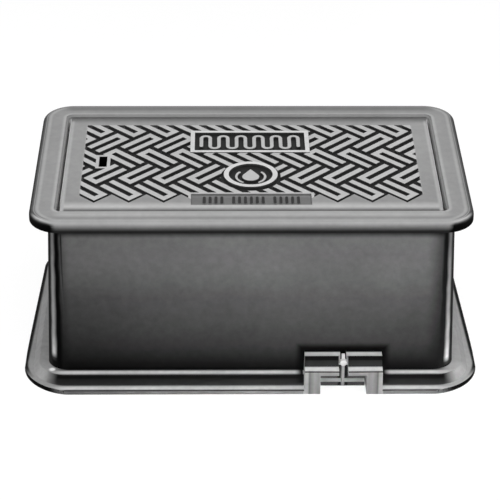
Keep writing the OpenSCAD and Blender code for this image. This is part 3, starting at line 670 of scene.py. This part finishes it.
def dress(node, material, edge):
    """Gives a CAD node its material and rounds its edges off by the width, if there is one."""
    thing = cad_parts[node]
    for slot in thing.material_slots:
        slot.material = material
    if edge:
        weld = thing.modifiers.new("weld", "WELD")
        weld.merge_threshold = WELD_REACH
        bevel = thing.modifiers.new("edges", "BEVEL")
        bevel.width = edge
        bevel.segments = EDGE_STEPS
        bevel.limit_method = "ANGLE"
        bevel.angle_limit = math.radians(SHARP_ANGLE)
        normals = thing.modifiers.new("normals", "WEIGHTED_NORMAL")
        normals.keep_sharp = False
        normals.weight = NORMAL_WEIGHT


def dress_nodes(lid_material):
    """Materials of all CAD nodes, and the width of their rounded edges."""
    dress("lid", lid_material, 0.45 * MM)
    dress("box_body", body_plastic(), 0.5 * MM)
    dress("top_frame", frame_plastic(), 0.4 * MM)
    dress("pipe_plug", plug_plastic(), 0.3 * MM)
    dress("tap_bracket", brushed_steel("stainless_sheet", SHEET_TONE), 0.15 * MM)
    steel = brushed_steel("satin_steel", SATIN_TONE)
    for node in ("hinge_pin_front", "hinge_pin_rear", "frame_screws", "bracket_screws"):
        dress(node, steel, 0)


# Signs on the lid: plain figures in place of the photograph's name, mark and text
SIGN_FLOOR = LID_TOP - TREAD_DEPTH - 0.05 * MM
SIGN_EDGE, RIB_EDGE = 0.5 * MM, 0.3 * MM
SIGN_EDGE_STEPS = 3
SIGN_SHARP_ANGLE = 40
MEANDER_STROKES = 12
MEANDER_PITCH = 7.2 * MM
MEANDER_H = 25 * MM
MEANDER_W = 3.4 * MM
DROP_H, DROP_R = 20 * MM, 7 * MM
DROP_SHIFT = 3 * MM
DROP_STEPS, RIPPLE_STEPS, TURN_STEPS, CAP_STEPS = 40, 20, 8, 6
RIPPLE_R, RIPPLE_W = 11.5 * MM, 2.4 * MM
RIPPLE_TURNS = ((-55, 40), (140, 235))
RIB_PITCH, RIB_W, RIB_H = 4.6 * MM, 2.3 * MM, 11 * MM
RIB_GROUPS = (4, 6, 5)
RIB_DROP = 0.5 * MM


def extrude(shape, outline, low_z, high_z):
    """Adds the closed outline of (x, y) to the shape, as a solid from low_z to high_z."""
    face = shape.faces.new([shape.verts.new((x, y, low_z)) for x, y in outline])
    face.normal_update()
    if face.normal.z < 0:
        face.normal_flip()
    grown = bmesh.ops.extrude_face_region(shape, geom=[face])
    tops = [item for item in grown["geom"] if isinstance(item, bmesh.types.BMVert)]
    bmesh.ops.translate(shape, verts=tops, vec=(0, 0, high_z - low_z))
    face.normal_flip()


def piece_from_outlines(name, outlines, top_z, edge, material):
    """A raised piece of closed outlines that stands on the sunk floor and rides on the lid."""
    mesh = bpy.data.meshes.new(name)
    shape = bmesh.new()
    for outline in outlines:
        extrude(shape, outline, SIGN_FLOOR, top_z)
    bmesh.ops.recalc_face_normals(shape, faces=shape.faces)
    shape.to_mesh(mesh)
    shape.free()
    thing = bpy.data.objects.new(name, mesh)
    bpy.context.collection.objects.link(thing)
    mesh.materials.append(material)
    mesh.polygons.foreach_set("use_smooth", [True] * len(mesh.polygons))
    bevel = thing.modifiers.new("edges", "BEVEL")
    bevel.width = edge
    bevel.segments = SIGN_EDGE_STEPS
    bevel.limit_method = "ANGLE"
    bevel.angle_limit = math.radians(SIGN_SHARP_ANGLE)
    bevel.harden_normals = True
    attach(thing, "lid")
    return thing


def arc(middle, radius, start, end, steps):
    """Points on an arc round the middle, from the angle start to the angle end in degrees."""
    angles = [math.radians(start + (end - start) * step / steps) for step in range(steps + 1)]
    x, y = middle
    return [(x + radius * math.cos(angle), y + radius * math.sin(angle)) for angle in angles]


def round_cap(end, start):
    """Points of a half circle round the end of a line, after the corner where it starts."""
    spoke = Vector(start) - Vector(end)
    return [tuple(Vector(end) + Matrix.Rotation(-math.pi * step / CAP_STEPS, 2) @ spoke)
            for step in range(1, CAP_STEPS)]


def ribbon(points, width):
    """Outline of a line of even width through the points, with rounded ends."""
    left, right = [], []
    for i, point in enumerate(points):
        before, after = points[max(i - 1, 0)], points[min(i + 1, len(points) - 1)]
        along = (Vector(after) - Vector(before)).normalized()
        side = Vector((-along.y, along.x)) * width / 2
        left.append(tuple(Vector(point) + side))
        right.append(tuple(Vector(point) - side))
    return left + round_cap(points[-1], left[-1]) + right[::-1] + round_cap(points[0], right[0])


def plate_meander():
    """One line that runs up and down across the plate, in place of a name."""
    turn_r = MEANDER_PITCH / 2
    reach = MEANDER_H / 2 - turn_r - MEANDER_W / 2
    points = []
    for stroke in range(MEANDER_STROKES):
        x = PLATE_MIDDLE[0] + (stroke - (MEANDER_STROKES - 1) / 2) * MEANDER_PITCH
        way = 1 if stroke % 2 == 0 else -1
        end_y = PLATE_MIDDLE[1] + way * reach
        points += [(x, PLATE_MIDDLE[1] - way * reach), (x, end_y)]
        if stroke < MEANDER_STROKES - 1:
            points += arc((x + turn_r, end_y), turn_r, 180 * way, 0, TURN_STEPS)[1:-1]
    return [ribbon(points, MEANDER_W)]


def drop_outline(middle, height, radius):
    """Outline of a water drop with its point to the rear."""
    x, y = middle
    tip = height - radius
    tangent = math.degrees(math.acos(radius / tip))
    return [(x, y + tip)] + arc(middle, radius, 90 - tangent, tangent - 270, DROP_STEPS)


def ring_sign():
    """A water drop with a ripple on either side, in place of a mark."""
    middle = (RING_MIDDLE[0], RING_MIDDLE[1] - DROP_SHIFT)
    ripples = [ribbon(arc(middle, RIPPLE_R, start, end, RIPPLE_STEPS), RIPPLE_W)
               for start, end in RIPPLE_TURNS]
    return [drop_outline(middle, DROP_H, DROP_R)] + ripples


def strip_ribs():
    """A row of plain upright ribs, in groups, in place of a line of text."""
    x, y = STRIP_MIDDLE
    reach = (RIB_H - RIB_W) / 2
    places = sum(RIB_GROUPS) + len(RIB_GROUPS) - 1
    rib_x = x - (places - 1) / 2 * RIB_PITCH
    outlines = []
    for group in RIB_GROUPS:
        for _ in range(group):
            outlines.append(ribbon([(rib_x, y - reach), (rib_x, y + reach)], RIB_W))
            rib_x += RIB_PITCH
        rib_x += RIB_PITCH
    return outlines


def add_signs(material):
    signs = (
        ("plate_meander", plate_meander(), LID_TOP, SIGN_EDGE),
        ("ring_sign", ring_sign(), LID_TOP, SIGN_EDGE),
        ("strip_ribs", strip_ribs(), LID_TOP - RIB_DROP, RIB_EDGE),
    )
    for name, outlines, top_z, edge in signs:
        piece = piece_from_outlines(name, outlines, top_z, edge, material)


def area_light(name, place, aim, size, watts, spread=180):
    data = bpy.data.lights.new(name, "AREA")
    data.shape = "RECTANGLE"
    data.size, data.size_y = size
    data.energy = watts
    data.spread = math.radians(spread)
    light = bpy.data.objects.new(name, data)
    light.location = place
    light.rotation_euler = (Vector(aim) - Vector(place)).to_track_quat("-Z", "Y").to_euler()
    bpy.context.collection.objects.link(light)


def add_lights():
    """Soft boxes above, in front and at both ends, and a narrow light on the hood."""
    area_light("top_softbox", (0, -0.55, 1.5), aim=(0, -0.05, 0.1), size=(1.8, 1.0), watts=15)
    area_light("front_softbox", (0, -1.7, 0.55), aim=(0, -0.1, 0.08), size=(1.6, 0.7), watts=5)
    area_light("right_softbox", (1.2, 0.05, 0.35), aim=(0.15, 0, 0.08), size=(0.5, 0.5), watts=7)
    area_light("left_softbox", (-1.2, 0.05, 0.35), aim=(-0.15, 0, 0.08), size=(0.5, 0.5), watts=6)
    hood = (HOOD_MIDDLE_X, -0.1, 0.01)
    area_light("hood_kicker", (0.1, -1.2, 0.22), aim=hood, size=(0.3, 0.12), watts=0.12, spread=12)


def seen_rays(nodes):
    """Light path node, and 1 on rays that show a surface directly or through glass."""
    path = nodes.add("ShaderNodeLightPath")
    return path, nodes.math("MAXIMUM", path.outputs["Is Camera Ray"], path.outputs["Is Transmission Ray"])


AMBIENT = (0.18, 0.18, 0.18, 1)
WHITE = (1, 1, 1, 1)


def add_world():
    """White to the camera and in reflections, and dim as a light."""
    world = bpy.data.worlds.new("studio")
    bpy.context.scene.world = world
    world.use_nodes = True
    nodes = Nodes(world.node_tree)
    path, seen = seen_rays(nodes)
    seen = nodes.math("MAXIMUM", seen, path.outputs["Is Glossy Ray"])
    ambient = nodes.add("ShaderNodeBackground")
    ambient.inputs["Color"].default_value = AMBIENT
    backdrop = nodes.add("ShaderNodeBackground")
    backdrop.inputs["Color"].default_value = WHITE
    both = nodes.mix_shader(seen, ambient.outputs[0], backdrop.outputs[0])
    nodes.finish(both, "ShaderNodeOutputWorld")


FLOOR_HALF = 6.0
FLOOR_BOUNCE, FLOOR_PALE = grey(120), grey(235)
FLOOR_GLOW = 1.12
FLOOR_GLOW_SHARE = 0.8


def matt_floor(nodes, colour):
    shader = nodes.add("ShaderNodeBsdfDiffuse")
    shader.inputs["Color"].default_value = colour
    return shader.outputs[0]


def floor_material():
    """Pale floor: white to the camera with a soft shadow, dim to light that bounces, dark in the box."""
    material, nodes = new_material("pale_floor")
    place = nodes.parts(nodes.place())
    outside = nodes.between(outward(nodes, (place["X"], place["Y"]), BOX_INSIDE_HALF), 0, 4 * MM)
    glow = nodes.add("ShaderNodeEmission")
    glow.inputs["Strength"].default_value = FLOOR_GLOW
    glow_share = nodes.math("MULTIPLY", outside, FLOOR_GLOW_SHARE)
    shown = nodes.mix_shader(glow_share, matt_floor(nodes, FLOOR_PALE), glow.outputs[0])
    _, seen = seen_rays(nodes)
    nodes.finish(nodes.mix_shader(seen, matt_floor(nodes, FLOOR_BOUNCE), shown))
    return material


def add_floor():
    mesh = bpy.data.meshes.new("floor")
    corners = [(x * FLOOR_HALF, y * FLOOR_HALF, 0) for x, y in ((-1, -1), (1, -1), (1, 1), (-1, 1))]
    mesh.from_pydata(corners, [], [(0, 1, 2, 3)])
    mesh.materials.append(floor_material())
    floor = bpy.data.objects.new("floor", mesh)
    bpy.context.collection.objects.link(floor)


def add_camera():
    """Camera at the photograph's place, turned by yaw and pitch and then rolled about its view."""
    data = bpy.data.cameras.new("camera")
    data.sensor_width = SENSOR_MM
    data.lens = FOCAL_PX * SENSOR_MM / PHOTO_SIDE_PX
    camera = bpy.data.objects.new("camera", data)
    yaw, pitch, roll = (math.radians(angle) for angle in (CAMERA_YAW, CAMERA_PITCH, CAMERA_ROLL))
    ahead = Vector((math.sin(yaw) * math.cos(pitch), math.cos(yaw) * math.cos(pitch), -math.sin(pitch)))
    level = Vector((math.cos(yaw), -math.sin(yaw), 0))
    above = level.cross(ahead)
    right = math.cos(roll) * level + math.sin(roll) * above
    up = -math.sin(roll) * level + math.cos(roll) * above
    turn = Matrix((right, up, -ahead)).transposed().to_4x4()
    camera.matrix_world = Matrix.Translation(CAMERA_PLACE) @ turn
    bpy.context.collection.objects.link(camera)
    bpy.context.scene.camera = camera


lid_material = lid_plastic()
dress_nodes(lid_material)
add_signs(lid_material)
add_camera()
add_floor()
add_world()
add_lights()
bpy.context.scene.view_settings.view_transform = "Standard"
